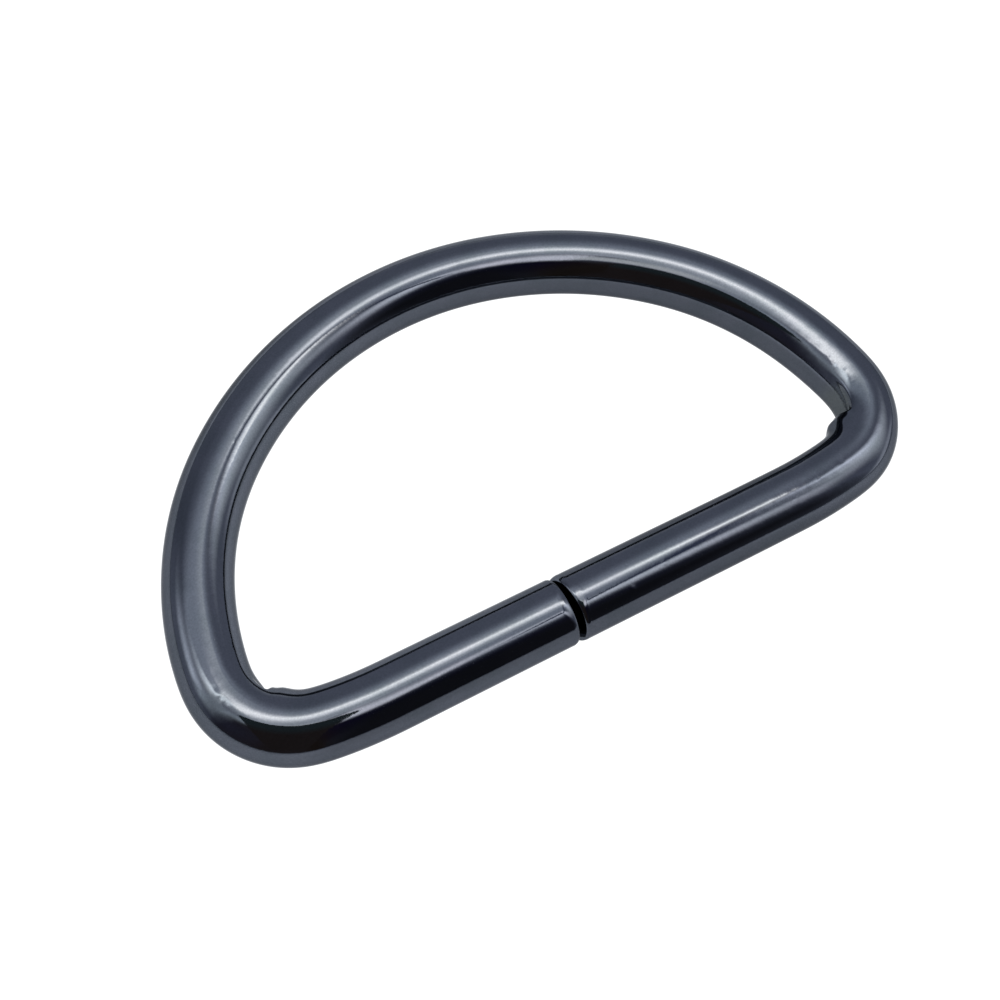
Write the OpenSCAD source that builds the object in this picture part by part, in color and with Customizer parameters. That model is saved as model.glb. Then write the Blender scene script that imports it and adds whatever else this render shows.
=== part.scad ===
// D ring: one length of round wire bent into a D, its two ends meeting in the straight bar.
// It lies flat on z = 0. The bar runs along X and the crown of the bow is at +Y.
// The origin is under the middle of its outer width and height.

/* [Ring] */
// Diameter of the round wire
wire_d = 5; // [3:0.1:6]
// Clear width inside the ring, along the bar
inner_w = 48; // [42:0.5:60]
// Clear height inside the ring, from the bar to the crown
inner_h = 23.6; // [20:0.1:30]

/* [Bends] */
// Turn of the crown's arc on each side of the middle, in degrees
crown_turn = 43.6; // [38:0.1:50]
// Turn of each shoulder's arc, in degrees
shoulder_turn = 39.3; // [34:0.1:44]
// Turn of each corner's arc, in degrees
corner_turn = 86.9; // [80:0.1:92]
// Inside radius of each corner
corner_inner_r = 3; // [2:0.1:5]
// Inside radius of the slight bend that eases each corner into the bar
easing_inner_r = 28; // [20:1:40]
// How much each tighter bend draws the wire finer than its neighbour, on the radius
bend_draw = 0.02; // [0.02:0.005:0.06]

/* [Open joint] */
// Width of the gap between the wire's ends, along the bar
gap_w = 0.5; // [0.3:0.05:2]
// Distance of the gap from the middle of the bar, towards -X
gap_offset = 3; // [0:0.1:8]

/* [Bend marks] */
// Depth of the dent that the bending tool left inside each corner, as a share of the wire's diameter
dent_depth = 0.06; // [0.02:0.01:0.12]
// Radius of the tool's edge, as a share of the wire's diameter
dent_r = 0.2; // [0.12:0.01:0.3]
// Where the dent lies, as the wire's turn from the crown, in degrees
dent_turn = 118; // [105:1:125]
// Height of the low bump raised beside the dent, as a share of the wire's diameter
bump_h = 0.04; // [0.02:0.005:0.08]
// Radius of the bump's dome, as a share of the wire's diameter
bump_r = 0.36; // [0.28:0.01:0.44]
// Where the bump lies, as the wire's turn from the crown, in degrees
bump_turn = 147; // [140:1:160]

/* [Hidden] */

$fn = 64;
right_angle = 90;
straight_turn = 180;
gunmetal = [0.25, 0.27, 0.31];

// Each bend reaches this far into its neighbours, so that no two surfaces only touch
lap = 0.2;
// Bends that draw the wire before an arc's wire is at its size
crown_draws = 0;
shoulder_draws = 1;
corner_draws = 2;
easing_draws = 1;

wire_r = wire_d / 2;
corner_wire_r = wire_r - corner_draws * bend_draw;
corner_r = corner_inner_r + corner_wire_r;
easing_r = easing_inner_r + wire_r;

// Direction of travel at the end of each arc, turned from +X
shoulder_end = crown_turn + shoulder_turn;
corner_end = shoulder_end + corner_turn;

// What the corner and its easing leave of the half width and of the height
half_w_left = inner_w / 2 + corner_wire_r - corner_r * (1 - sin(shoulder_end));
corner_drop = corner_r * (cos(shoulder_end) - cos(corner_end));
easing_drop = easing_r * (cos(corner_end) + 1);
height_left = inner_h + wire_d - corner_drop - easing_drop;

// The crown's and the shoulder's radii fill the rest: two equations, width and height
crown_x = sin(crown_turn);
crown_y = 1 - cos(crown_turn);
shoulder_x = sin(shoulder_end) - sin(crown_turn);
shoulder_y = cos(crown_turn) - cos(shoulder_end);
spread = crown_x * shoulder_y - crown_y * shoulder_x;
crown_r = (half_w_left * shoulder_y - height_left * shoulder_x) / spread;
shoulder_r = (height_left * crown_x - half_w_left * crown_y) / spread;

// Outward direction at a point where the wire has turned that far
function outward(turn) = [sin(turn), cos(turn)];

// Centres of the arcs, each in line with its neighbour and the point that they share
crown_c = [0, inner_h / 2 + wire_r - crown_r];
shoulder_c = crown_c + (crown_r - shoulder_r) * outward(crown_turn);
corner_c = shoulder_c + (shoulder_r - corner_r) * outward(shoulder_end);
easing_c = corner_c + (corner_r - easing_r) * outward(corner_end);

bar_y = easing_c[1] - easing_r;
bar_half = easing_c[0];

// An arc of the wire between two directions of travel, drawn finer a number of times
module bend(centre, radius, from, to, draws) {
    reach = lap / radius * straight_turn / PI;
    translate([centre[0], centre[1], wire_r])
        rotate_extrude(start = right_angle - to - reach, angle = to - from + 2 * reach)
            translate([radius, 0])
                circle(r = wire_r - draws * bend_draw);
}

// The right half of the bow, from the crown's end to the bar's end
module half_bow() {
    bend(shoulder_c, shoulder_r, crown_turn, shoulder_end, shoulder_draws);
    bend(corner_c, corner_r, shoulder_end, corner_end, corner_draws);
    bend(easing_c, easing_r, corner_end, straight_turn, easing_draws);
}

// The straight bar
module bar() {
    translate([-bar_half, bar_y, wire_r])
        rotate([0, right_angle, 0])
            cylinder(r = wire_r, h = 2 * bar_half);
}

// Places its children inside the right corner, at a distance from the corner's centre
module in_corner(turn, distance) {
    place = corner_c + distance * outward(turn);
    translate([place[0], place[1], wire_r])
        children();
}

// The low bump beside the dent
module bend_bump() {
    in_corner(bump_turn, corner_inner_r + wire_d * (bump_r - bump_h))
        sphere(r = wire_d * bump_r);
}

// The dent, the shape of the bending tool's edge
module bend_dent() {
    in_corner(dent_turn, corner_inner_r + wire_d * (dent_depth - dent_r))
        cylinder(r = wire_d * dent_r, h = 2 * wire_d, center = true);
}

// The slot that parts the wire's ends, square to the bar
module open_joint() {
    translate([-gap_offset, bar_y, wire_r])
        cube([gap_w, 2 * wire_d, 2 * wire_d], center = true);
}

module d_ring() {
    color(gunmetal)
        difference() {
            union() {
                bend(crown_c, crown_r, -crown_turn, crown_turn, crown_draws);
                bar();
                for (side = [0, 1])
                    mirror([side, 0, 0]) {
                        half_bow();
                        bend_bump();
                    }
            }
            for (side = [0, 1])
                mirror([side, 0, 0])
                    bend_dent();
            open_joint();
        }
}

d_ring();
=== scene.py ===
import math

import bpy
import numpy as np
from mathutils import Matrix, Vector


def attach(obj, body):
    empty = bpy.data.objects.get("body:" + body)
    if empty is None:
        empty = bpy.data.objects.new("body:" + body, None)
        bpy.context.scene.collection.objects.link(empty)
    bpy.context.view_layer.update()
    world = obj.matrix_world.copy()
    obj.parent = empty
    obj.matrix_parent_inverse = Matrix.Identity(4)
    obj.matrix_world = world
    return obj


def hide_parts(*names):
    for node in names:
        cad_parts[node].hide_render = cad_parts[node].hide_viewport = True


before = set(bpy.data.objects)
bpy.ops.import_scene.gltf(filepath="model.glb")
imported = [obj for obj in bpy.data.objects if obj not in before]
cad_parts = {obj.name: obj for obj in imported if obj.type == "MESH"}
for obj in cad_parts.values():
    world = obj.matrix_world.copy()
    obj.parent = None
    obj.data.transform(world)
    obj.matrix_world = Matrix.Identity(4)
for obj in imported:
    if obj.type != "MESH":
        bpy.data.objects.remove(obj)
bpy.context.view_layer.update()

scene = bpy.context.scene
mm = 0.001

# The bent wire, in millimetres and degrees: the same bends as in the solid model
bends = {
    "wireRadius": 2.5,
    "cornerWireRadius": 2.46,
    "innerWidth": 48.0,
    "innerHeight": 23.6,
    "crownTurn": 43.6,
    "shoulderTurn": 39.3,
    "cornerTurn": 86.9,
    "cornerInnerRadius": 3.0,
    "easingInnerRadius": 28.0,
    "softening": 0.7,           # length over which one bend passes into the next
    "drawing": 2.2,             # length over which the wire becomes finer
    "drawnAt": (0.06, 0.16),    # curvatures between which bending draws the wire finer
    "polished": 0.008,          # what polishing took off the wire all round
    "leftEnd": -3.25,           # where the axis of the bar meets the cut at each end of the wire
    "rightEnd": -2.93,
}


# Two equations, the D's width and height, give the radii of the crown and of the shoulders
def solveBends(b):
    s1 = math.radians(b["crownTurn"])
    s2 = s1 + math.radians(b["shoulderTurn"])
    s3 = s2 + math.radians(b["cornerTurn"])
    corner = b["cornerInnerRadius"] + b["cornerWireRadius"]
    easing = b["easingInnerRadius"] + b["wireRadius"]
    halfLeft = b["innerWidth"] / 2 + b["cornerWireRadius"] - corner * (1 - math.sin(s2))
    heightLeft = (b["innerHeight"] + 2 * b["wireRadius"]
                  - corner * (math.cos(s2) - math.cos(s3)) - easing * (math.cos(s3) + 1))
    crownX, crownY = math.sin(s1), 1 - math.cos(s1)
    shoulderX, shoulderY = math.sin(s2) - math.sin(s1), math.cos(s1) - math.cos(s2)
    spread = crownX * shoulderY - crownY * shoulderX
    crown = (halfLeft * shoulderY - heightLeft * shoulderX) / spread
    shoulder = (heightLeft * crownX - halfLeft * crownY) / spread
    centre = np.array([0.0, b["innerHeight"] / 2 + b["wireRadius"] - crown])
    for turn, step in ((s1, crown - shoulder), (s2, shoulder - corner), (s3, corner - easing)):
        centre = centre + step * np.array([math.sin(turn), math.cos(turn)])
    return {
        "turns": [s1, s2 - s1, s3 - s2, math.pi - s3],
        "radii": [crown, shoulder, corner, easing],
        "barY": float(centre[1] - easing),
        "barHalf": float(centre[0]),
    }


ring = solveBends(bends)


# A running mean with the weights of a bell curve, over values a step apart
def soften(values, width, step):
    reach = int(3 * width / step)
    weight = np.exp(-0.5 * (np.arange(-reach, reach + 1) * step / width) ** 2)
    return np.convolve(np.pad(values, reach, mode="edge"), weight / weight.sum(), mode="valid")


# Running sum of a value over a length, by the trapezium rule
def sumAlong(value, length):
    return np.concatenate([[0], np.cumsum((value[1:] + value[:-1]) / 2 * np.diff(length))])


# Share of the way from low to high, held between 0 and 1
def shareBetween(x, low, high):
    return np.clip((x - low) / (high - low), 0, 1)


# Centre line: curvature along the wire's length, softened where two bends meet, is summed to the
# direction, and the direction is summed to the place; the small error at the far end is shared out
def centreLine(b, ring, step=0.02):
    turns, radii = ring["turns"], ring["radii"]
    bow = [(turns[i] * radii[i], 1 / radii[i]) for i in (3, 2, 1, 0)]
    leftBar, rightBar = ring["barHalf"] + b["leftEnd"], ring["barHalf"] - b["rightEnd"]
    runs = [(leftBar, 0.0)] + bow + bow[::-1] + [(rightBar, 0.0)]
    edges = np.cumsum([run[0] for run in runs])
    length = np.arange(0, edges[-1] + step, step)
    length = length * edges[-1] / length[-1]
    curve = np.array([run[1] for run in runs])[np.searchsorted(edges[:-1], length)]
    curve = soften(curve, b["softening"], step)
    along = sumAlong(curve, length)
    curve, along = curve * 2 * math.pi / along[-1], along * 2 * math.pi / along[-1]
    turn = along - math.pi
    x = b["leftEnd"] + sumAlong(np.cos(turn), length)
    y = ring["barY"] + sumAlong(-np.sin(turn), length)
    share = length / length[-1]
    x = x + (b["rightEnd"] - x[-1]) * share
    y = y + (ring["barY"] - y[-1]) * share
    tight = soften(shareBetween(curve, *b["drawnAt"]), b["drawing"], step)
    radius = b["wireRadius"] - b["polished"] - (b["wireRadius"] - b["cornerWireRadius"]) * tight
    return {"length": length, "x": x, "y": y, "turn": turn, "curve": curve, "radius": radius}


line = centreLine(bends, ring)
print("wire length", round(float(line["length"][-1]), 2), "mm, radii", [round(r, 2) for r in ring["radii"]])

# The cuts at the wire's two ends: how far each plane moves towards +X for each millimetre of y and z
# from the axis, and how long and how deep its worn rim is at places around the wire, in degrees from
# the outside over the top to the inside of the ring
joint = {
    "around": [0, 45, 85, 125, 180, 270],
    "left": {"slopeY": 0.0, "slopeZ": 0.0,
             "long": [0.40, 0.50, 0.95, 0.30, 0.30, 0.50], "deep": [0.16, 0.14, 0.17, 0.09, 0.12, 0.20]},
    "right": {"slopeY": -0.07, "slopeZ": 0.08,
              "long": [0.30, 0.40, 0.80, 0.62, 0.62, 0.90], "deep": [0.12, 0.16, 0.24, 0.26, 0.34, 0.30]},
    "fade": 6.0,            # length over which the cut's lean and rim die out along the wire
    "rimRows": 10,
    "faceRows": 4,
}

# What bending by machine left of the perfect wire. Places along the wire are in millimetres from
# its left end, places around it in degrees as above, heights in hundredths of a millimetre
handMade = {
    # (place, wander of the wire outwards, swelling of its outside, swelling of its inside)
    "sway": [
        (0, -2.5, 0, 0), (15.8, -3, 0, 0), (18.3, 0.5, 5, 1), (20.8, 0, 12, 6), (23.8, 2, 8, 0),
        (26.8, 0.0, -3, 0), (29.8, 2.0, 0, 0), (38, 0.7, 0, 0), (47, -2.4, 0, 0), (56, -4.2, 0, 0),
        (62, -4.7, 0, 0), (68, -4.4, 0, 0), (74, -6.2, 0, 0), (80, -3, 0, 0), (88, 3.5, 0, 0),
        (97, 3.5, 0, -2), (102, 0.7, 0, -4), (106, 5.7, -7, 0), (109, 1.9, 4, 4), (112, -1.5, 0, 6),
        (117, 0, 0, 2), (121, 1.1, 0, 0), (126, -1, 0, 0), (136, -1.5, 0, 0),
    ],
    "wanderSoft": 2.2,      # widths over which the wander and the swelling are averaged
    "swellSoft": 1.0,
    # the bending tool's dents, deepest at a crease and fading towards the bow, each with the metal
    # that it pushed up into a bump on the bar's side of the crease
    "dents": [
        {"crease": 23.1, "towardsBow": 1, "depth": 40, "decay": 1.2, "lip": 0.45, "from": 134, "soft": 16,
         "bump": 24, "bumpAt": 1.7, "bumpWide": 1.2, "bumpAround": 188, "bumpTall": 34, "matt": 0.2},
        {"crease": 105.9, "towardsBow": -1, "depth": 42, "decay": 2.4, "lip": 0.5, "from": 130, "soft": 15,
         "bump": 32, "bumpAt": 1.6, "bumpWide": 1.2, "bumpAround": 186, "bumpTall": 30, "matt": 0.9},
    ],
    "dentsEnd": 262,        # how far round the wire the dents reach, and over how many degrees they end
    "dentsEndSoft": 30,
    "bumpSteep": 0.5,       # a bump is this much narrower on the side of its crease
    # grains under the plate: (place, around, radius in millimetres, height)
    "grains": [
        (2.6, 21, 0.16, 0.8), (28.0, 128, 0.18, 1.4), (25.0, 77, 0.16, 1.0), (43.1, 118, 0.16, 0.9),
        (44.4, 104, 0.16, 0.8), (50.6, 100, 0.16, -0.8), (52.5, 98, 0.14, 0.6), (58.1, 178, 0.30, 2.0),
        (61.7, 82, 0.14, -0.8), (68.3, 104, 0.16, 0.9), (101.1, 120, 0.20, -1.4), (100.3, 117, 0.16, 1.2),
        (102.2, 113, 0.18, 1.2), (103.4, 116, 0.16, -1.2), (112.2, 87, 0.18, -1.2), (110.9, 20, 0.20, 1.6),
        (116.9, 70, 0.18, 1.1), (114.6, 84, 0.18, -1.1), (131.2, 56, 0.24, 2.6), (128.2, 72, 0.18, 1.4),
        (25.2, 75, 0.36, 1.8), (24.7, 75, 0.22, 1.2),
    ],
    # a fine groove that the bending tool drew along the left shoulder: (place, around)
    "groove": [(24.8, 77), (26.8, 80), (29.0, 79), (31.4, 78)],
    "grooveDepth": 0.9,
    "grooveWide": 0.11,
    "grooveFade": 1.0,      # length over which it dies out at each end
    # fine ripples in the plate's surface, at their full height where the wire was worked hardest:
    # (place, share of the ripple)
    "ripple": [
        (0, 0.03), (22, 0.1), (26, 0.5), (33, 0.4), (38, 0.1), (60, 0.05), (90, 0.08), (96, 0.35),
        (101, 0.8), (105, 0.6), (109, 0.5), (114, 0.7), (119, 0.5), (124, 0.25), (134, 0.1),
    ],
    "rippleHeight": 0.12,
    "shareSoft": 1.0,               # width over which the ripple's share is averaged
    "rippleWaves": (0.5, 1.4),      # shortest and longest wave
    "rippleAround": (35, 150),      # where the ripples start and end round the wire, and how softly
    "rippleSoft": 20,
    "rippleCount": 30,
    "rippleSeed": 7,
    "unit": 0.01,
}

# Rows along the wire and columns around it, closer together where the shape or the view needs it
fineness = {
    "along": 0.175,
    "corner": 0.12,
    "cornerAt": (0.05, 0.17),       # curvatures between which the rows draw together
    "ends": 0.11,
    "endsReach": 1.5,               # how far from the cuts the rows stay close
    "around": 110,
    "seen": 0.5,                    # how much closer the columns are on the side that is seen
    "seenAt": 100,
}


# Row spacing is a smooth function of the length; its inverse is summed until the wire ends
def rowPlaces(f, line):
    length = line["length"]
    tight = shareBetween(line["curve"], *f["cornerAt"])
    ends = np.exp(-np.minimum(length, length[-1] - length) / f["endsReach"])
    step = f["along"] - (f["along"] - f["corner"]) * tight - (f["along"] - f["ends"]) * ends * (1 - tight)
    count = sumAlong(1 / step, length)
    rows = int(round(count[-1])) + 1
    return np.interp(np.linspace(0, count[-1], rows), count, length)


# Column density is 1 + seen * cos(angle - seenAt), summed in the same way
def columnAngles(f, samples=2001):
    turn = np.linspace(0, 2 * math.pi, samples)
    count = sumAlong(1 + f["seen"] * np.cos(turn - math.radians(f["seenAt"])), turn)
    return np.interp(np.arange(f["around"]) / f["around"] * count[-1], count, turn)


# Smooth step: 0 below 0, 1 above 1, 3 x^2 - 2 x^3 between
def smoothStep(x):
    x = np.clip(x, 0, 1)
    return x * x * (3 - 2 * x)


# Bell curve: 1 at the middle, falling with the square of the distance over the width
def bell(x, width):
    return np.exp(-0.5 * (x / width) ** 2)


# A column of a listed table as a smooth curve: straight lines between its rows, averaged over a width
def smoothCurve(table, column, width, step=0.1):
    table = np.array(table, dtype=float)
    at = np.arange(0, line["length"][-1] + step, step)
    return at, soften(np.interp(at, table[:, 0], table[:, column]), width, step)


curves = {
    "wander": smoothCurve(handMade["sway"], 1, handMade["wanderSoft"]),
    "outside": smoothCurve(handMade["sway"], 2, handMade["swellSoft"]),
    "inside": smoothCurve(handMade["sway"], 3, handMade["swellSoft"]),
    "ripple": smoothCurve(handMade["ripple"], 1, handMade["shareSoft"]),
}


# Degrees round the wire from 0 to 360, and how far a dent reaches round it
def dentReach(d, angle):
    degrees = np.degrees(angle) % 360
    reach = smoothStep((degrees - d["from"]) / d["soft"])
    return degrees, reach * smoothStep((handMade["dentsEnd"] - degrees) / handMade["dentsEndSoft"])


# Each dent is a slope, exp(-x / decay) behind its crease, and its bump is a bell curve both ways
def dents(length, angle):
    height = np.zeros_like(length)
    for d in handMade["dents"]:
        x = (length - d["crease"]) * d["towardsBow"]
        degrees, reach = dentReach(d, angle)
        slope = np.where(x > 0, np.exp(-np.maximum(x, 0) / d["decay"]), smoothStep(1 + x / d["lip"]))
        beyond = x + d["bumpAt"]
        wide = np.where(beyond > 0, handMade["bumpSteep"], 1) * d["bumpWide"]
        height = height - d["depth"] * slope * reach
        height = height + d["bump"] * bell(beyond, wide) * bell(degrees - d["bumpAround"], d["bumpTall"])
    return height


# Each grain is a bell curve of the distance from its middle, with half its radius for a width
def grains(length, angle):
    height = np.zeros_like(length)
    for place, around, radius, tall in handMade["grains"]:
        aside = np.radians((np.degrees(angle) - around + 180) % 360 - 180) * bends["wireRadius"]
        height = height + tall * bell(np.hypot(length - place, aside), radius / 2)
    return height


# The groove is a bell curve of the distance from straight lines between its places
def groove(length, angle):
    at, around = np.transpose(handMade["groove"])
    aside = (angle - np.radians(np.interp(length, at, around))) * bends["wireRadius"]
    within = np.minimum(length - at[0], at[-1] - length) / handMade["grooveFade"]
    return handMade["grooveDepth"] * smoothStep(1 + within) * bell(aside, handMade["grooveWide"])


# The ripples are a sum of waves in random directions, a whole number of each around the wire
def ripples(length, angle):
    random = np.random.default_rng(handMade["rippleSeed"])
    total = np.zeros_like(length)
    for wave in range(handMade["rippleCount"]):
        wavelength = random.uniform(*handMade["rippleWaves"])
        way = random.uniform(0, math.pi)
        across = round(math.sin(way) * 2 * math.pi * bends["wireRadius"] / wavelength)
        total += np.cos(2 * math.pi * math.cos(way) / wavelength * length + across * angle
                        + random.uniform(0, 2 * math.pi))
    around = np.degrees(angle)
    start, end = handMade["rippleAround"]
    window = smoothStep((around - start) / handMade["rippleSoft"])
    window = window * smoothStep((end - around) / handMade["rippleSoft"])
    share = np.interp(length, *curves["ripple"]) * window
    return handMade["rippleHeight"] * share * total * math.sqrt(2 / handMade["rippleCount"])


# Height of the surface over the plain wire, in millimetres
def relief(length, angle):
    height = dents(length, angle) + grains(length, angle) - groove(length, angle) + ripples(length, angle)
    return height * handMade["unit"]


# Places on the wire: centre line + radius * (cos a * outward + sin a * up), slid along the wire
def wirePoints(length, radius, angle, slide, height=0.0):
    place = length + slide
    beyond = place - np.clip(place, 0, line["length"][-1])
    turn = np.interp(place, line["length"], line["turn"])
    outward = np.cos(angle)
    swell = np.where(outward > 0, np.interp(length, *curves["outside"]), np.interp(length, *curves["inside"]))
    wander = np.interp(length, *curves["wander"])
    side = outward * (radius + height) + (swell * outward * np.abs(outward) + wander) * handMade["unit"]
    return np.stack([
        np.interp(place, line["length"], line["x"]) + np.sin(turn) * side + np.cos(turn) * beyond,
        np.interp(place, line["length"], line["y"]) + np.cos(turn) * side - np.sin(turn) * beyond,
        bends["wireRadius"] + np.sin(angle) * (radius + height),
    ], axis=-1)


# How far along +X a cut lies from where it meets the axis: slopeY * y + slopeZ * z
def cutLean(end, radius, angle):
    return radius * (end["slopeZ"] * np.sin(angle) - end["slopeY"] * np.cos(angle))


# A size of a rim at each place around the wire
def rimSize(end, size, angle):
    return np.interp(np.degrees(angle), joint["around"], end[size], period=360)


# The rounded end: its rim is a quarter ellipse, long * (1 - sin t) from the cut and deep * (1 - cos t)
# in from the wire's side, and rings of falling radius close the cut. Into is 1 where the wire's length
# grows away from the cut and -1 where it grows towards it
def endCap(end, at, into, angle):
    long, deep = rimSize(end, "long", angle), rimSize(end, "deep", angle)
    t = np.linspace(0, math.pi / 2, joint["rimRows"] + 1)[1:, None]
    rim = bends["wireRadius"] - deep * (1 - np.cos(t))
    face = (bends["wireRadius"] - deep) * np.linspace(1, 0, joint["faceRows"] + 1)[1:-1, None]
    radius = np.concatenate([rim, face])
    depth = np.concatenate([long * (1 - np.sin(t)), np.zeros_like(face)])
    slide = into * depth - cutLean(end, radius, angle)
    around = np.broadcast_to(angle, radius.shape)
    cap = wirePoints(np.full_like(radius, at), radius, around, slide)
    middle = wirePoints(np.array([at]), 0.0, np.zeros(1), 0.0)
    return cap, middle


# Faces of a grid of rows by columns that closes around its columns
def bandFaces(rows, columns):
    i, j = np.meshgrid(np.arange(rows - 1), np.arange(columns), indexing="ij")
    after = (j + 1) % columns
    below, above = i * columns, (i + 1) * columns
    return np.stack([below + j, above + j, above + after, below + after], -1).reshape(-1, 4)


# The same grid as a closed tube, with a fan to a point at each end
def tubeFaces(rows, columns):
    rim = np.arange(columns)
    after = (rim + 1) % columns
    first, base = rows * columns, (rows - 1) * columns
    startFan = np.stack([np.full(columns, first), rim, after], -1)
    endFan = np.stack([np.full(columns, first + 1), base + after, base + rim], -1)
    return bandFaces(rows, columns).tolist() + startFan.tolist() + endFan.tolist()


# How matt the surface is in each dent, where the tool rubbed it: fully up to one decay from the crease,
# and no more beyond two
def mattMark(length, angle):
    mark = np.zeros_like(length)
    for d in handMade["dents"]:
        x = (length - d["crease"]) * d["towardsBow"]
        reach = dentReach(d, angle)[1]
        fade = smoothStep(1 + x / d["lip"]) * smoothStep(2 - x / d["decay"])
        mark = np.maximum(mark, d["matt"] * reach * fade)
    return mark


# Makes an object from points in millimetres and faces; the camera doesn't see what lights the ring
def meshObject(name, points, faces, material, seen=True):
    mesh = bpy.data.meshes.new(name)
    mesh.from_pydata((np.asarray(points) * mm).tolist(), [], faces)
    mesh.materials.append(material)
    made = bpy.data.objects.new(name, mesh)
    made.visible_camera = seen
    scene.collection.objects.link(made)
    return made


# The wire's surface, row by row. Near a cut the rows lean with it and leave room for its rim, by the
# square of 1 - distance / fade, and the relief dies out over the last millimetre
def buildWire(material):
    total = line["length"][-1]
    angle = columnAngles(fineness)
    s, a = np.meshgrid(rowPlaces(fineness, line), angle, indexing="ij")
    radius = np.interp(s, line["length"], line["radius"])
    left, right = joint["left"], joint["right"]
    nearLeft = np.clip(1 - s / joint["fade"], 0, 1) ** 2
    nearRight = np.clip(1 - (total - s) / joint["fade"], 0, 1) ** 2
    slide = (rimSize(left, "long", a) - cutLean(left, radius, a)) * nearLeft
    slide -= (rimSize(right, "long", a) + cutLean(right, radius, a)) * nearRight
    body = wirePoints(s, radius, a, slide, relief(s, a) * smoothStep(s) * smoothStep(total - s))
    leftCap, leftMiddle = endCap(left, 0.0, 1, angle)
    rightCap, rightMiddle = endCap(right, total, -1, angle)
    grid = np.concatenate([leftCap[::-1], body, rightCap])
    points = np.concatenate([grid.reshape(-1, 3), leftMiddle, rightMiddle])
    piece = meshObject("wire_ring", points, tubeFaces(*grid.shape[:2]), material)
    mesh = piece.data
    mesh.polygons.foreach_set("use_smooth", np.ones(len(mesh.polygons), dtype=bool))
    mark = np.zeros(grid.shape[:2])
    mark[len(leftCap):len(leftCap) + len(body)] = mattMark(s, a)
    toolMark = mesh.attributes.new("toolMark", "FLOAT", "POINT")
    toolMark.data.foreach_set("value", np.append(mark.ravel(), [0, 0]))
    mesh.update()
    mesh.calc_loop_triangles()
    return piece


# Adds a node, sets its settings, and sets or links its sockets
def addNode(tree, kind, sockets=None, **settings):
    made = tree.nodes.new(kind)
    for key, value in settings.items():
        setattr(made, key, value)
    for key, value in (sockets or {}).items():
        if isinstance(value, bpy.types.NodeSocket):
            tree.links.new(value, made.inputs[key])
        else:
            made.inputs[key].default_value = value
    return made


# One step of arithmetic on numbers
def calc(tree, operation, a, b=0.0, c=0.0):
    return addNode(tree, "ShaderNodeMath", {0: a, 1: b, 2: c}, operation=operation).outputs[0]


# One step of arithmetic on vectors, which gives a number for a length, a distance or a dot product
def vector(tree, operation, a, b=(0, 0, 0)):
    made = addNode(tree, "ShaderNodeVectorMath", {0: a, 1: b}, operation=operation)
    return made.outputs["Value" if operation in ("LENGTH", "DISTANCE", "DOT_PRODUCT") else "Vector"]


# A vector times a number
def scaled(tree, a, factor):
    return addNode(tree, "ShaderNodeVectorMath", {0: a, "Scale": factor}, operation="SCALE").outputs[0]


# The x, y and z of a vector
def partsOf(tree, a):
    return addNode(tree, "ShaderNodeSeparateXYZ", {0: a}).outputs[:]


# 0 at the low value and 1 at the high one, which may be the smaller
def ramp(tree, value, low, high, kind="SMOOTHSTEP"):
    return addNode(tree, "ShaderNodeMapRange", {"Value": value, "From Min": low, "From Max": high},
                   interpolation_type=kind).outputs[0]


# The first colour where the share is 0, the second where it is 1
def mixColours(tree, share, first, second):
    return addNode(tree, "ShaderNodeMix", {0: share, 6: first, 7: second}, data_type="RGBA").outputs[2]


# Places on an object, in millimetres
def placeOn(tree):
    return scaled(tree, addNode(tree, "ShaderNodeTexCoord").outputs["Object"], 1 / mm)


# Black nickel plate over polished wire: sizes in millimetres, roughness from polished to rubbed.
# Heights and the grain's tint are over the noise's whole range, and it mostly keeps to the middle
nickel = {
    "tint": (0.090, 0.097, 0.115, 1),
    "cloudTint": (0.080, 0.089, 0.104, 1),      # faint clouds where the plate is thicker
    "rubbedTint": (0.098, 0.108, 0.108, 1),     # where the bending tool rubbed it, slightly green
    "edgeTint": (0.52, 0.52, 0.52, 1),          # the plate mirrors less than a bright metal at a low angle
    "clouds": {"size": 2.6, "from": 0.42, "to": 0.68, "detail": 4.0},
    "polished": 0.04,
    "cloudy": 0.08,
    "rubbed": 0.22,
    "peel": {"size": 0.42, "height": 0.0022},           # the plate's faint orange peel
    "grain": {"size": 0.13, "height": 0.00048, "tint": 0.48},
    "rubbing": {"size": 0.16, "height": 0.004, "detail": 4.0, "even": 0.45, "patchy": 0.8},
    # the pits' radius and share are of a cell of their pattern
    "pits": {"size": 0.8, "radius": 0.10, "share": 0.05, "height": 0.002, "rough": 0.2},
}


# Noise over places in millimetres: its value runs from 0 to 1 around the middle
def noise(tree, place, size, detail=2.0):
    sockets = {"Vector": place, "Scale": 1 / size, "Detail": detail}
    return addNode(tree, "ShaderNodeTexNoise", sockets).outputs["Fac"]


# Pits: in a share of the cells of a random pattern, a round hollow at the cell's middle
def pitMask(tree, place, pits):
    cell = addNode(tree, "ShaderNodeTexVoronoi", {"Vector": place, "Scale": 1 / pits["size"]}).outputs
    inside = ramp(tree, cell["Distance"], pits["radius"], 0.0)
    chance = addNode(tree, "ShaderNodeSeparateColor", {0: cell["Color"]}).outputs[0]
    return calc(tree, "MULTIPLY", inside, calc(tree, "LESS_THAN", chance, pits["share"]))


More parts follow.
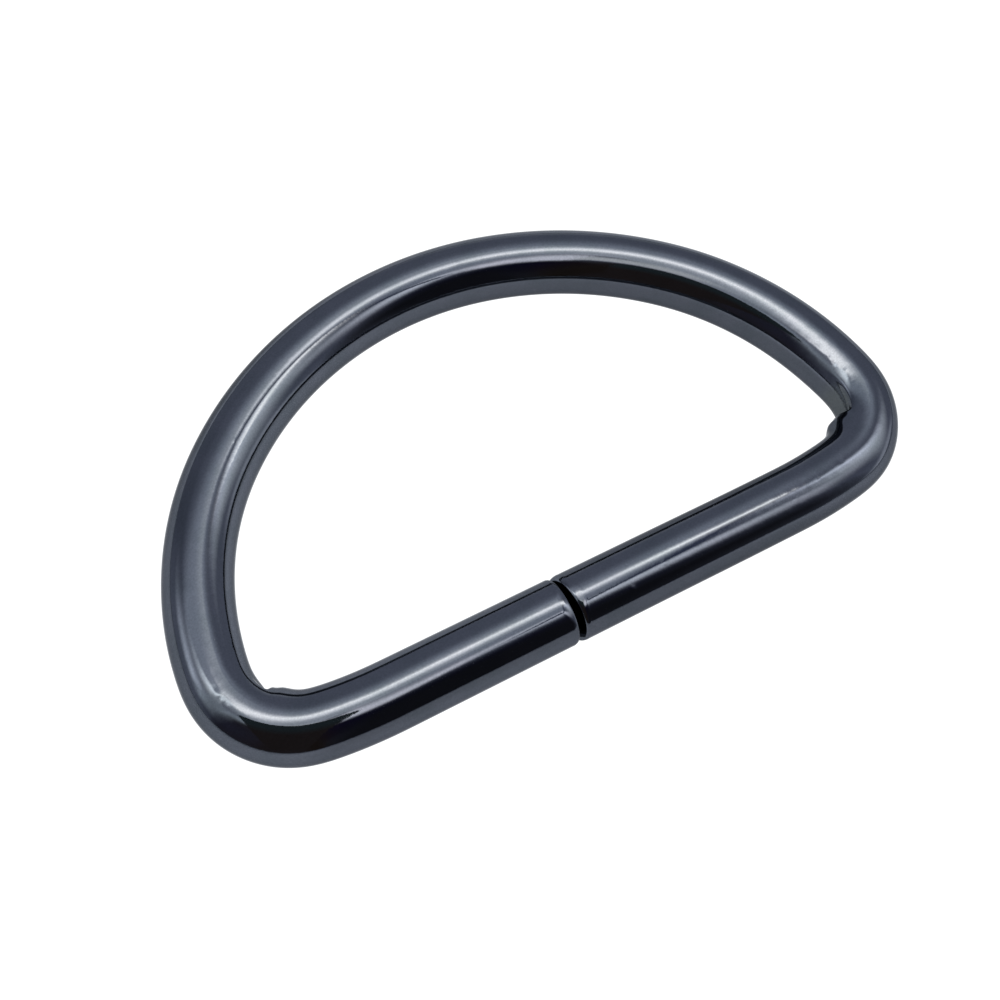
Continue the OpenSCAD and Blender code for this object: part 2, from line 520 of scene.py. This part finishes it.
# The plate: a dark metal, clouded, rubbed matt in the dents, and finely uneven all over
def nickelMaterial(m):
    material = bpy.data.materials.new("black_nickel_plate")
    material.use_nodes = True
    tree = material.node_tree
    shader = tree.nodes["Principled BSDF"]
    place = placeOn(tree)
    mark = addNode(tree, "ShaderNodeAttribute", attribute_name="toolMark").outputs["Fac"]
    clouds, rubbing = m["clouds"], m["rubbing"]
    cloud = noise(tree, place, clouds["size"], clouds["detail"])
    cloud = ramp(tree, cloud, clouds["from"], clouds["to"], "LINEAR")
    grain = noise(tree, place, m["grain"]["size"])
    scuff = noise(tree, place, rubbing["size"], rubbing["detail"])
    pits = pitMask(tree, place, m["pits"])

    # colour: clouds, then the rubbed places, then a fine grain of light and dark
    patchy = calc(tree, "MULTIPLY_ADD", scuff, rubbing["patchy"], rubbing["even"])
    patchy = calc(tree, "MULTIPLY", mark, patchy)
    tint = mixColours(tree, cloud, m["tint"], m["cloudTint"])
    tint = mixColours(tree, patchy, tint, m["rubbedTint"])
    shade = calc(tree, "MULTIPLY_ADD", calc(tree, "SUBTRACT", grain, 0.5), m["grain"]["tint"], 1.0)
    tree.links.new(scaled(tree, tint, shade), shader.inputs["Base Color"])

    rough = calc(tree, "MULTIPLY_ADD", cloud, m["cloudy"] - m["polished"], m["polished"])
    rough = calc(tree, "MULTIPLY_ADD", patchy, m["rubbed"], rough)
    rough = calc(tree, "MULTIPLY_ADD", pits, m["pits"]["rough"], rough)
    tree.links.new(rough, shader.inputs["Roughness"])

    # relief in millimetres: orange peel, grain, the rubbed places' fine scuffs, less the pits
    height = calc(tree, "MULTIPLY", noise(tree, place, m["peel"]["size"]), m["peel"]["height"])
    height = calc(tree, "MULTIPLY_ADD", grain, m["grain"]["height"], height)
    height = calc(tree, "MULTIPLY_ADD", calc(tree, "MULTIPLY", scuff, mark), rubbing["height"], height)
    height = calc(tree, "MULTIPLY_ADD", pits, -m["pits"]["height"], height)
    bump = addNode(tree, "ShaderNodeBump", {"Height": height, "Strength": 1.0, "Distance": mm})
    tree.links.new(bump.outputs[0], shader.inputs["Normal"])

    shader.inputs["Metallic"].default_value = 1
    shader.inputs["Specular Tint"].default_value = m["edgeTint"]
    return material


wire = buildWire(nickelMaterial(nickel))
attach(wire, "root")
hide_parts("d_ring")
print("wire:", len(wire.data.vertices), "points,", len(wire.data.loop_triangles), "triangles")

# The studio is a round tent with soft panels on it, painted in order, each over the ones before.
# A panel's place is in degrees from straight overhead, towards +X and +Y; its size is half of each
# side, its taper widens one end, and low and high are the softness of its four edges. The room's tone
# and the panels are rounded results of a fit to the reflections in the photograph, apart from the beam,
# the dark rail and its foot, which were placed one by one
studio = {
    "radius": 550,
    "foot": 91,             # how far down the tent comes, in degrees from overhead
    "narrowest": 0.1,       # a tapered panel keeps this share of its width
    "room": (0.52, 0.56, 0.68),
    "panels": [
        # broad soft glow overhead
        {"at": (-4, 20), "size": (41.5, 24), "turn": -17, "taper": 0.6, "peak": 4,
         "low": (10, 7), "high": (15.5, 20), "light": (1.4, 1.5, 1.65)},
        # window to the left
        {"at": (-53, -10), "size": (20.5, 17.5), "turn": -9, "taper": -0.5, "peak": 1.2,
         "low": (10, 16.5), "high": (25, 21.5), "light": (4, 4.4, 4.4)},
        # small lamp beyond it
        {"at": (-57, 31.5), "size": (4, 7.5), "turn": -25, "taper": 0.15, "peak": 0.8,
         "low": (7.5, 7), "high": (15, 20), "light": (4.6, 4.8, 5)},
        # softer window to the right
        {"at": (47, -15), "size": (14, 11), "turn": 20, "taper": 0.3, "peak": 0.8,
         "low": (6.5, 19), "high": (11.5, 7.5), "light": (2.45, 2.55, 2.55)},
        # dark corner of the ceiling
        {"at": (5, -51), "size": (22.5, 31.5), "turn": -54, "taper": 0.8, "peak": 2,
         "low": (4, 12), "high": (24.5, 23), "light": (0.01, 0.01, 0.1)},
        # glow under the ridge
        {"at": (-4, 5), "size": (29.5, 17.5), "turn": 20, "taper": -0.15, "peak": 3,
         "low": (17.5, 2.5), "high": (3, 12.5), "light": (2, 2.1, 2.15)},
        # heart of the overhead light
        {"at": (3, 8.5), "size": (22.5, 7.5), "turn": -4, "taper": -0.25, "peak": 4.4,
         "low": (11.5, 18.5), "high": (3, 14.5), "light": (23.2, 22.2, 20.4)},
        # small lamp to the right
        {"at": (36.5, -3), "size": (12.5, 6.5), "turn": 1, "taper": 0.45, "peak": 2.4,
         "low": (17.5, 18.5), "high": (19, 9), "light": (12.4, 12.6, 12.8)},
        # low lamp on the near side
        {"at": (22.5, -23.5), "size": (10, 0.5), "turn": -31, "taper": 0.25, "peak": 1.2,
         "low": (5, 13), "high": (25, 8), "light": (18.6, 18.4, 18)},
        # beam above the near dark zone
        {"at": (-5.5, -18), "size": (10, 6.5), "turn": -28, "taper": 0, "peak": 1,
         "low": (5, 3), "high": (4, 5), "light": (3, 3, 2.8)},
        # thin dark rail
        {"at": (25.5, -5.5), "size": (2.5, 12.5), "turn": -15, "taper": 0, "peak": 2,
         "low": (3, 4), "high": (3, 4), "light": (0.14, 0.18, 0.34)},
        # the rail's foot
        {"at": (19.5, -19), "size": (2, 7.5), "turn": -40, "taper": 0, "peak": 2,
         "low": (2, 3), "high": (2, 3), "light": (0.14, 0.18, 0.34)},
        # low bright beam
        {"at": (6.5, -22.5), "size": (7, 9), "turn": -19, "taper": -0.3, "peak": 1.6,
         "low": (1.5, 5.5), "high": (3, 9), "light": (4.6, 4.4, 4.4)},
        # left tip of the overhead light
        {"at": (-25, 13), "size": (12, 5), "turn": -18, "taper": -0.8, "peak": 1.2,
         "low": (15.5, 3.5), "high": (21, 4.5), "light": (7, 7.2, 6.8)},
        # dark room on the near left
        {"at": (-26, -58), "size": (20, 39), "turn": -3, "taper": -0.25, "peak": 0.6,
         "low": (5.5, 3.5), "high": (11, 3.5), "light": (0.07, 0.05, 0.04)},
        # dark room on the near right
        {"at": (21, -76), "size": (26, 28), "turn": -17, "taper": -0.2, "peak": 0.4,
         "low": (6, 16), "high": (25, 10.5), "light": (0.04, 0.04, 0.05)},
        # dark room far to the left
        {"at": (-64, -48), "size": (30, 41), "turn": 9, "taper": -0.1, "peak": 0.4,
         "low": (10, 6.5), "high": (7, 6.5), "light": (0.09, 0.07, 0.07)},
        # bright edge of the table, right
        {"at": (71.5, -48.5), "size": (5.5, 38), "turn": -14, "taper": 0.1, "peak": 1.6,
         "low": (6, 3), "high": (1, 16), "light": (1.55, 1.6, 1.7)},
        # dark patch low on the left
        {"at": (-64, -10), "size": (11.5, 15), "turn": 16, "taper": -0.05, "peak": 0.4,
         "low": (25, 25), "high": (18, 12), "light": (0.11, 0.11, 0.17)},
        # dim far wall on the left
        {"at": (-34, 62), "size": (16, 19.5), "turn": 36, "taper": -0.05, "peak": 1.2,
         "low": (12.5, 9.5), "high": (25, 4), "light": (0.33, 0.36, 0.45)},
        # far wall behind
        {"at": (49.5, 79), "size": (54.5, 7), "turn": -32, "taper": 0.4, "peak": 2.4,
         "low": (13, 21), "high": (4, 4.5), "light": (2.7, 2.75, 2.65)},
    ],
    "rows": 48,
    "columns": 96,
}


# A soft-edged panel: 1 inside the half sizes, falling smoothly to 0 across each edge, to a power
def panelGroup(narrowest):
    group = bpy.data.node_groups.new("soft panel", "ShaderNodeTree")
    vectors = ("Point", "Centre", "Half Size", "Low Edge", "High Edge")
    for name in vectors + ("Turn", "Taper", "Peak"):
        kind = "NodeSocketVector" if name in vectors else "NodeSocketFloat"
        group.interface.new_socket(name, in_out="INPUT", socket_type=kind)
    group.interface.new_socket("Mask", in_out="OUTPUT", socket_type="NodeSocketFloat")
    given = addNode(group, "NodeGroupInput").outputs
    turned = addNode(group, "ShaderNodeVectorRotate", {
        "Vector": given["Point"], "Center": given["Centre"], "Angle": given["Turn"]}).outputs[0]
    x, y, _ = partsOf(group, vector(group, "SUBTRACT", turned, given["Centre"]))
    width = calc(group, "MAXIMUM", calc(group, "MULTIPLY_ADD", x, given["Taper"], 1.0), narrowest)
    local = addNode(group, "ShaderNodeCombineXYZ", {0: x, 1: calc(group, "DIVIDE", y, width)}).outputs[0]
    masks = []
    for sign, edge in ((1.0, "Low Edge"), (-1.0, "High Edge")):
        signed = vector(group, "MULTIPLY", local, (sign, sign, sign))
        inside = vector(group, "ADD", signed, given["Half Size"])
        share = vector(group, "DIVIDE", inside, given[edge])
        masks += [ramp(group, part, -1.0, 1.0) for part in partsOf(group, share)[:2]]
    lowMask = calc(group, "MULTIPLY", masks[0], masks[1])
    highMask = calc(group, "MULTIPLY", masks[2], masks[3])
    mask = calc(group, "POWER", calc(group, "MULTIPLY", lowMask, highMask), given["Peak"])
    addNode(group, "NodeGroupOutput", {"Mask": mask})
    return group


# An empty material for something that glows; chance rays find it, so it isn't sampled as a lamp
def glowMaterial(name):
    material = bpy.data.materials.new(name)
    material.use_nodes = True
    material.node_tree.nodes.clear()
    material.cycles.emission_sampling = "NONE"
    return material


# A point on the tent in degrees from overhead: its direction's angle from +Z, spread over x and y
def tentPoint(tree):
    place = addNode(tree, "ShaderNodeTexCoord").outputs["Object"]
    direction = vector(tree, "NORMALIZE", place)
    x, y, z = partsOf(tree, direction)
    flat = calc(tree, "SQRT", calc(tree, "ADD", calc(tree, "MULTIPLY", x, x), calc(tree, "MULTIPLY", y, y)))
    flat = calc(tree, "MAXIMUM", flat, 1e-5)        # never quite 0, even straight overhead
    tilt = calc(tree, "MULTIPLY", calc(tree, "ARCCOSINE", z), 180 / math.pi)
    return scaled(tree, direction, calc(tree, "DIVIDE", tilt, flat))


# The tent's light: panels laid over the room's own tone by their place on the tent
def tentMaterial(s):
    material = glowMaterial("studio tent")
    tree = material.node_tree
    point = tentPoint(tree)
    group = panelGroup(s["narrowest"])
    light = addNode(tree, "ShaderNodeCombineColor", dict(enumerate(s["room"]))).outputs[0]
    for panel in s["panels"]:
        made = addNode(tree, "ShaderNodeGroup", node_tree=group)
        tree.links.new(point, made.inputs["Point"])
        made.inputs["Centre"].default_value = (*panel["at"], 0)
        made.inputs["Half Size"].default_value = (*panel["size"], 1)
        made.inputs["Low Edge"].default_value = (*panel["low"], 1)
        made.inputs["High Edge"].default_value = (*panel["high"], 1)
        made.inputs["Turn"].default_value = math.radians(-panel["turn"])
        made.inputs["Taper"].default_value = panel["taper"] / panel["size"][0]
        made.inputs["Peak"].default_value = panel["peak"]
        light = mixColours(tree, made.outputs[0], light, (*panel["light"], 1))
    glow = addNode(tree, "ShaderNodeEmission", {"Color": light, "Strength": 1.0})
    addNode(tree, "ShaderNodeOutputMaterial", {0: glow.outputs[0]})
    return material


# A half sphere by tilt from overhead and turn about the vertical, closed down to the floor
def buildTent(s):
    tilt = np.linspace(0, 1, s["rows"] + 1)[1:] * math.radians(s["foot"])
    turn = np.arange(s["columns"]) * 2 * math.pi / s["columns"]
    t, w = np.meshgrid(tilt, turn, indexing="ij")
    points = np.stack([np.sin(t) * np.cos(w), np.sin(t) * np.sin(w), np.cos(t)], -1).reshape(-1, 3)
    points = np.concatenate([points, [[0, 0, 1]]]) * s["radius"]
    rim = np.arange(s["columns"])
    top = np.stack([np.full(s["columns"], len(points) - 1), (rim + 1) % s["columns"], rim], -1)
    faces = bandFaces(s["rows"], s["columns"])[:, ::-1].tolist() + top.tolist()
    return meshObject("studio_tent", points, faces, tentMaterial(s), seen=False)


buildTent(studio)

# Two strips of light over the ring: a curved one for the long line of light along the wire, and a
# small one for the right part of the bar. Half is half of the clear sheet that each is on
strips = [
    {"height": 208, "middle": 31.5, "lean": 0.03, "bend": -0.0018, "wide": 8.5,
     "from": (-80, 15), "to": (75, 26), "light": (7.8, 7.5, 6.8, 1), "half": (260, 110)},
    {"height": 90, "middle": 6.9, "lean": -0.204, "bend": 0.0, "wide": 3.8,
     "from": (35, 4), "to": (60, 4), "light": (8.4, 8.1, 7.3, 1), "half": (80, 30)},
]


# Across a strip the light falls as exp(1 - sqrt(1 + (v / wide)^2)), where v is the distance from the
# curve y = middle + lean x + bend x^2; from and to are where it ends, and how softly
def stripMaterial(g):
    material = glowMaterial("light strip")
    tree = material.node_tree
    x, y, _ = partsOf(tree, placeOn(tree))
    curve = calc(tree, "MULTIPLY_ADD", x, calc(tree, "MULTIPLY_ADD", x, g["bend"], g["lean"]), g["middle"])
    v = calc(tree, "DIVIDE", calc(tree, "SUBTRACT", y, curve), g["wide"])
    fall = calc(tree, "SUBTRACT", 1.0, calc(tree, "SQRT", calc(tree, "MULTIPLY_ADD", v, v, 1.0)))
    mask = calc(tree, "EXPONENT", fall)
    for end, sign in (("from", 1), ("to", -1)):
        at, soft = g[end]
        mask = calc(tree, "MULTIPLY", mask, ramp(tree, x, at - sign * soft, at + sign * soft))
    glow = addNode(tree, "ShaderNodeEmission", {"Color": g["light"], "Strength": 1.0})
    clear = addNode(tree, "ShaderNodeBsdfTransparent")
    mixed = addNode(tree, "ShaderNodeMixShader", {0: mask, 1: clear.outputs[0], 2: glow.outputs[0]})
    addNode(tree, "ShaderNodeOutputMaterial", {0: mixed.outputs[0]})
    return material


# A flat sheet at the strip's height, facing down
def lightStrip(g):
    w, d = g["half"]
    corners = [(x, y, g["height"]) for x, y in ((-w, d), (w, d), (w, -d), (-w, -d))]
    return meshObject("light_strip", corners, [(0, 1, 2, 3)], stripMaterial(g), seen=False)


for strip in strips:
    lightStrip(strip)

# The photograph's viewing angle, from a fit of the ring's outline: degrees round and above the object,
# degrees of roll, millimetres
view = {"azimuth": -40.202, "elevation": 61.97, "roll": 11.99, "distance": 106.596,
        "target": (-2.789, ring["barY"] + 9.607, 2.5), "lens": 53.25, "sensor": 36.0,
        "clip": (10, 20000)}


# The camera's place in millimetres and its three directions: to the right, upwards and backwards
def viewFrame(v):
    a, e, r = (math.radians(v[k]) for k in ("azimuth", "elevation", "roll"))
    back = Vector((math.sin(a) * math.cos(e), -math.cos(a) * math.cos(e), math.sin(e)))
    right = (-back).cross(Vector((0, 0, 1))).normalized()
    up = right.cross(-back)
    rolledRight = right * math.cos(r) + up * math.sin(r)
    rolledUp = up * math.cos(r) - right * math.sin(r)
    return Vector(v["target"]) + back * v["distance"], rolledRight, rolledUp, back


# A dark card in the plane of the lens, reflected in the ring: its sides in millimetres to the right of
# the lens and above it, the radius of its corners, and its faint light at the top and further down
nearCard = {
    "right": (-48, 27),
    "above": (-145, 16),
    "corner": 9,
    "cornerPoints": 6,
    "topLight": (0.085, 0.115, 0.120, 1),
    "lowLight": (0.085, 0.065, 0.060, 1),
    "fade": (-2, -28),
}


# The card's light passes from its top tone to its low one over the fade, measured from the lens
def cardMaterial(c, place, up):
    material = glowMaterial("dark card")
    tree = material.node_tree
    above = vector(tree, "DOT_PRODUCT", placeOn(tree), tuple(up))
    lens = up.dot(place)
    low = ramp(tree, above, lens + c["fade"][0], lens + c["fade"][1], "LINEAR")
    tone = mixColours(tree, low, c["topLight"], c["lowLight"])
    glow = addNode(tree, "ShaderNodeEmission", {"Color": tone, "Strength": 1.0})
    addNode(tree, "ShaderNodeOutputMaterial", {0: glow.outputs[0]})
    return material


# A rectangle with round corners: each corner is a quarter circle about a centre one radius inside
def darkCard(c, v):
    place, right, up, _ = viewFrame(v)
    r = c["corner"]
    quarter = np.radians(np.linspace(0, 90, c["cornerPoints"]))
    outline = []
    for k, (i, j) in enumerate(((1, 1), (0, 1), (0, 0), (1, 0))):
        x = c["right"][i] + (r if i == 0 else -r) + r * np.cos(quarter + k * math.pi / 2)
        y = c["above"][j] + (r if j == 0 else -r) + r * np.sin(quarter + k * math.pi / 2)
        outline.append(np.stack([x, y], -1))
    outline = np.concatenate(outline)
    points = np.array(place) + outline[:, :1] * np.array(right) + outline[:, 1:] * np.array(up)
    return meshObject("dark_card", points, [list(range(len(points)))], cardMaterial(c, place, up), seen=False)


darkCard(nearCard, view)
print("studio:", len(studio["panels"]), "panels,", len(strips), "strips of light and a dark card")

# Outside the tent, where only the camera looks, the room is plain white
world = bpy.data.worlds.new("room")
world.use_nodes = True
world.node_tree.nodes["Background"].inputs["Color"].default_value = (1, 1, 1, 1)
scene.world = world

# The pale floor, which the camera sees as plain white. The ring mirrors it as a sheet glowing with
# painted light, which passes into a greyer floor further out. Pools of painted light make the sheet
# glow more beyond the bow, on both sides of the ring and in a spot inside it
ground = {
    "half": 3000,
    "rough": 0.9,
    "white": 1.15,          # what the camera sees, a little over plain white
    "sheet": (45, 150),     # how far from the ring's middle the sheet starts and ends passing into the greyer floor
    # own tones of the sheet and of the greyer floor, then the painted light that each glows with
    "near": (0.06, 0.06, 0.06, 1),
    "far": (0.10, 0.11, 0.12, 1),
    "glow": (0.69, 0.72, 0.77, 1),
    "farGlow": (0.16, 0.17, 0.20, 1),
    # pools of painted light, where the sheet glows more: beyond the bow, on both sides, in a spot inside
    "beyond": {"towards": (0.5, 0.87, 0), "from": 12, "to": 30, "more": 0.8},
    "sides": {"from": 18, "to": 32, "more": 0.4},
    "spot": {"at": (-11, -5, 0), "radius": 26, "more": 0.75},
}


# The sheet's glow is painted light: its own tone times 1 + each place's mask * more, for the pools of
# painted light
def floorMaterial(g):
    material = bpy.data.materials.new("pale floor")
    material.use_nodes = True
    material.cycles.emission_sampling = "NONE"
    tree = material.node_tree
    place = placeOn(tree)
    # 0 on the glowing sheet and 1 on the greyer floor beyond it
    table = ramp(tree, vector(tree, "LENGTH", place), *g["sheet"], "LINEAR")
    beyond, sides, spot = g["beyond"], g["sides"], g["spot"]
    behind = ramp(tree, vector(tree, "DOT_PRODUCT", place, beyond["towards"]), beyond["from"], beyond["to"])
    behind = calc(tree, "MULTIPLY", behind, calc(tree, "SUBTRACT", 1.0, table))
    aside = ramp(tree, calc(tree, "ABSOLUTE", partsOf(tree, place)[0]), sides["from"], sides["to"])
    inside = ramp(tree, vector(tree, "DISTANCE", place, spot["at"]), spot["radius"], 0.0)
    more = calc(tree, "MULTIPLY_ADD", behind, beyond["more"], 1.0)
    more = calc(tree, "MULTIPLY_ADD", aside, sides["more"], more)
    more = calc(tree, "MULTIPLY_ADD", inside, spot["more"], more)

    shader = tree.nodes["Principled BSDF"]
    shader.inputs["Roughness"].default_value = g["rough"]
    shader.inputs["Specular IOR Level"].default_value = 0.0
    shader.inputs["Emission Strength"].default_value = 1.0
    # The floor's own colour, with the painted light of its glow over it
    tree.links.new(mixColours(tree, table, g["near"], g["far"]), shader.inputs["Base Color"])
    glow = scaled(tree, mixColours(tree, table, g["glow"], g["farGlow"]), more)
    tree.links.new(glow, shader.inputs["Emission Color"])
    white = addNode(tree, "ShaderNodeEmission", {"Color": (1, 1, 1, 1), "Strength": g["white"]})
    seen = addNode(tree, "ShaderNodeLightPath").outputs["Is Camera Ray"]
    mixed = addNode(tree, "ShaderNodeMixShader", {0: seen, 1: shader.outputs[0], 2: white.outputs[0]})
    tree.links.new(mixed.outputs[0], tree.nodes["Material Output"].inputs["Surface"])
    return material


# A flat square under the ring
def paleFloor(g):
    h = g["half"]
    corners = [(-h, -h, 0), (h, -h, 0), (h, h, 0), (-h, h, 0)]
    return meshObject("pale_floor", corners, [(0, 1, 2, 3)], floorMaterial(g))


paleFloor(ground)


# The camera looks along the view's own three directions
def placeCamera(v):
    place, right, up, back = viewFrame(v)
    data = bpy.data.cameras.new("camera")
    data.lens, data.sensor_width, data.sensor_fit = v["lens"], v["sensor"], "HORIZONTAL"
    data.clip_start, data.clip_end = (edge * mm for edge in v["clip"])
    camera = bpy.data.objects.new("camera", data)
    turn = Matrix((right, up, back)).transposed().to_4x4()
    camera.matrix_world = Matrix.Translation(place * mm) @ turn
    scene.collection.objects.link(camera)
    scene.camera = camera


placeCamera(view)
scene.view_settings.view_transform = "Standard"
print("camera:", view["distance"], "mm away,", view["elevation"], "degrees above the floor")
